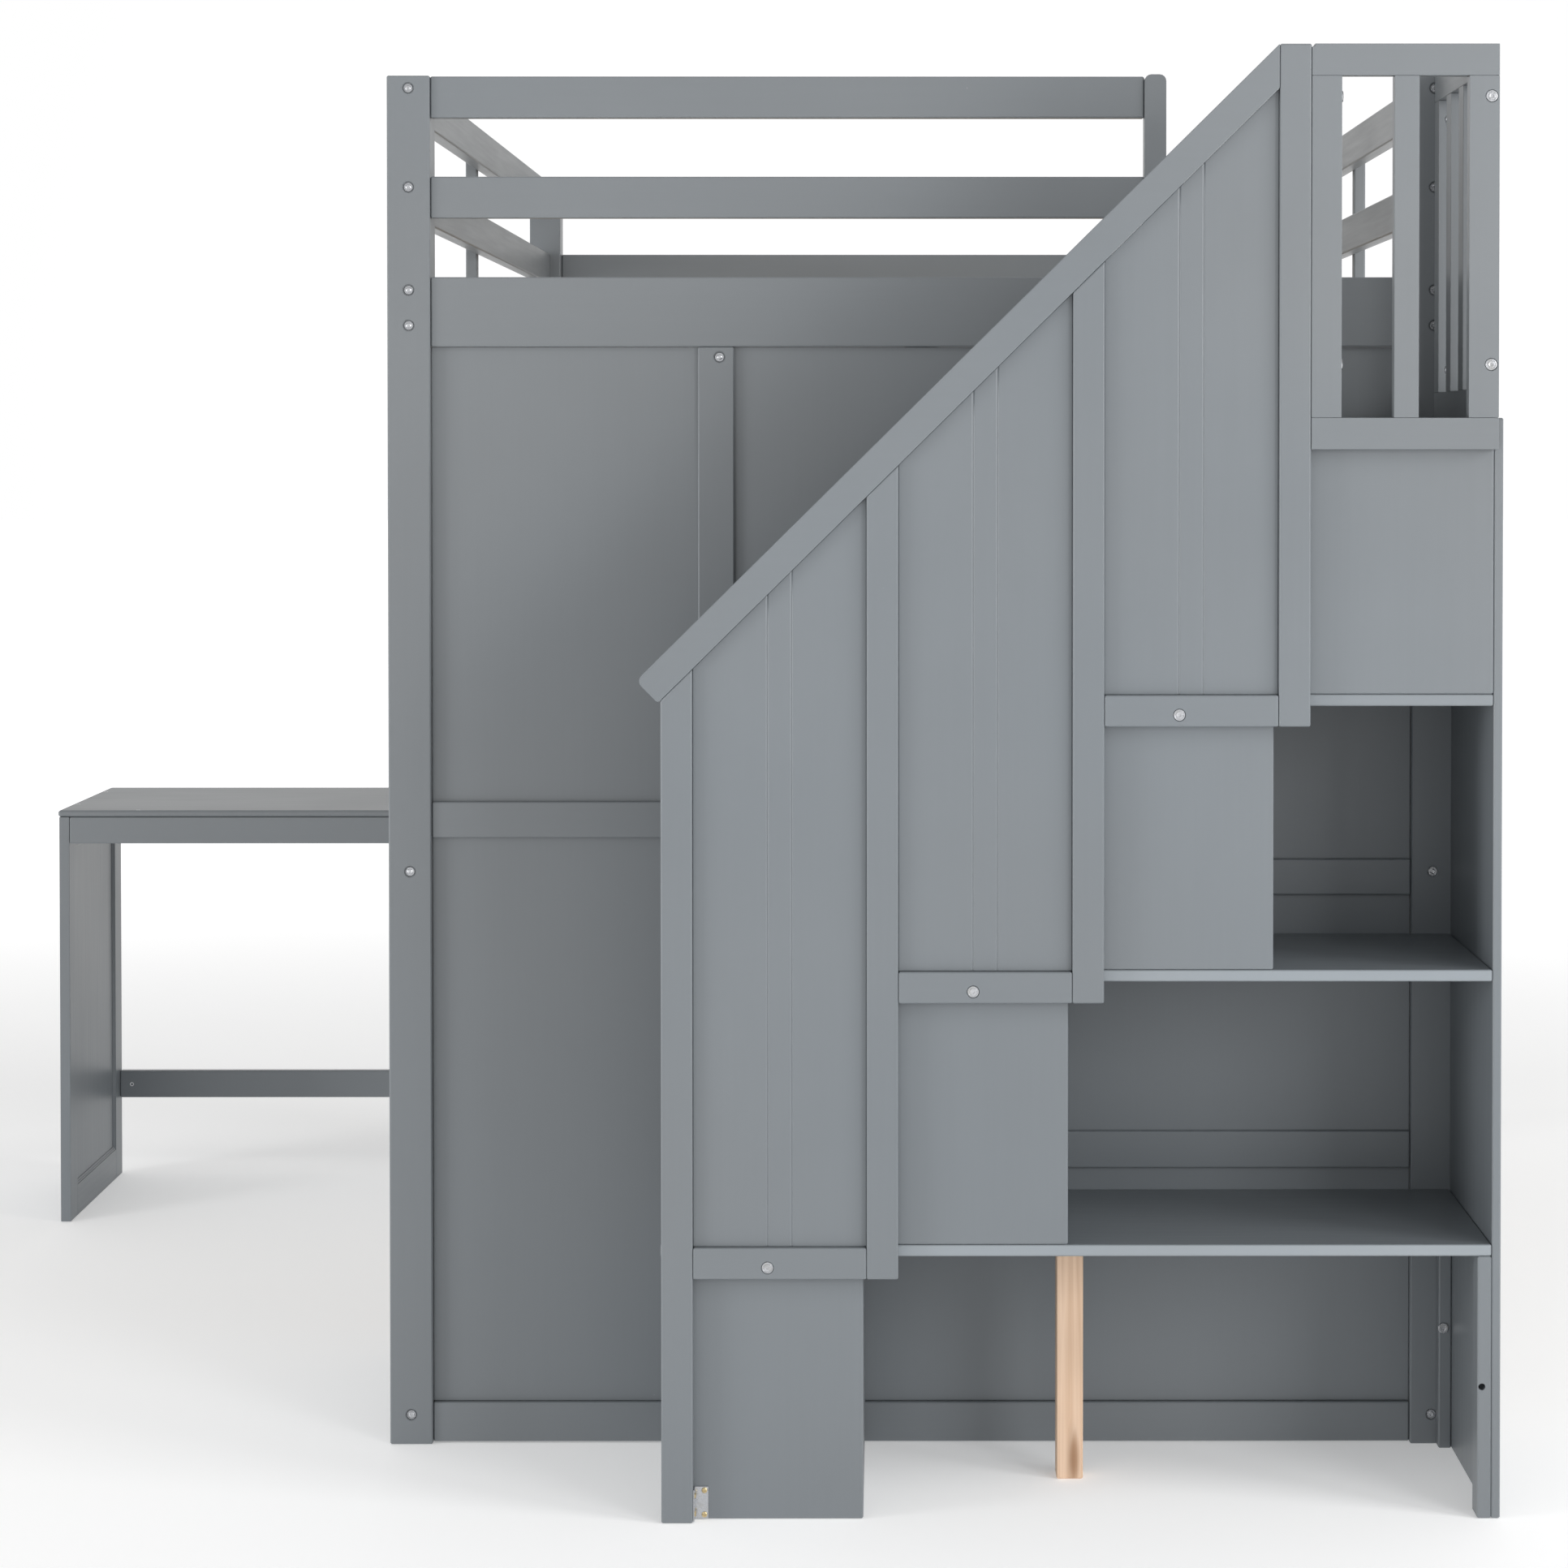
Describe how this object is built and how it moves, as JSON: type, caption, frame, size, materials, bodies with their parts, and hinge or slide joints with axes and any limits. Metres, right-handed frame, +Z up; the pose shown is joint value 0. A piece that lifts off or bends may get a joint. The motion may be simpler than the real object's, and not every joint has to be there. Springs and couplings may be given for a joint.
{
  "type": "loft bed with desk",
  "caption": "Painted wooden loft bed with a storage staircase and railed landing across one end, slatted full-size berth with guard rails, and a small desk wing at the other end.",
  "frame": {"origin": "centre of the footprint of the whole object, on the floor", "axes": "+Z up, +Y along the bed from the stair end to the desk end, +X towards the landing side"},
  "size_m": [2.178, 2.3658, 1.823],
  "materials": {
    "paint": "satin mid-grey paint over wood, slightly rounded edges",
    "bare_pine": "unpainted planed pine with visible grain and a knot",
    "slat_wood": "unpainted sanded softwood",
    "zinc_steel": "bright zinc plating"
  },
  "bodies": {
    "root": {"back_batten": "paint", "centre_beam": "slat_wood", "corner_bracket": "zinc_steel", "desk_apron": "paint", "desk_leg_left": "paint", "desk_leg_right": "paint", "desk_stretcher": "paint", "desk_top": "paint", "end_panel": "paint", "end_rail_far": "paint", "end_rail_foot": "paint", "end_rail_left_mid": "paint", "end_rail_near": "paint", "end_rail_right_low": "paint", "end_rail_right_mid": "paint", "end_stile": "paint", "front_batten": "paint", "guard_end_post": "paint", "guard_foot_rail_1": "paint", "guard_foot_rail_2": "paint", "guard_foot_rail_3": "paint", "guard_mid_far": "paint", "guard_mid_left": "paint", "guard_mid_near": "paint", "guard_mid_right": "paint", "guard_panel_1": "paint", "guard_panel_2": "paint", "guard_panel_3": "paint", "guard_stile_high": "paint", "guard_stile_low": "paint", "guard_top_far": "paint", "guard_top_left": "paint", "guard_top_near": "paint", "guard_top_right": "paint", "guard_upright_left": "paint", "guard_upright_right": "paint", "handrail": "paint", "landing": "paint", "landing_front_railing": "paint", "landing_side_railing": "paint", "low_frame_left": "paint", "low_frame_right": "paint", "newel_post": "paint", "post_far_left": "paint", "post_far_right": "paint", "post_near_left": "paint", "post_near_right": "paint", "prop_leg": "bare_pine", "side_rail_left": "paint", "side_rail_right": "paint", "slat_roll": "slat_wood", "stair_side_panel": "paint", "step_box_1": "paint", "step_box_2": "paint", "step_box_3": "paint", "step_box_4": "paint", "top_newel": "paint", "tread_1": "paint", "tread_2": "paint", "tread_3": "paint"}
  },
  "joints": []
}
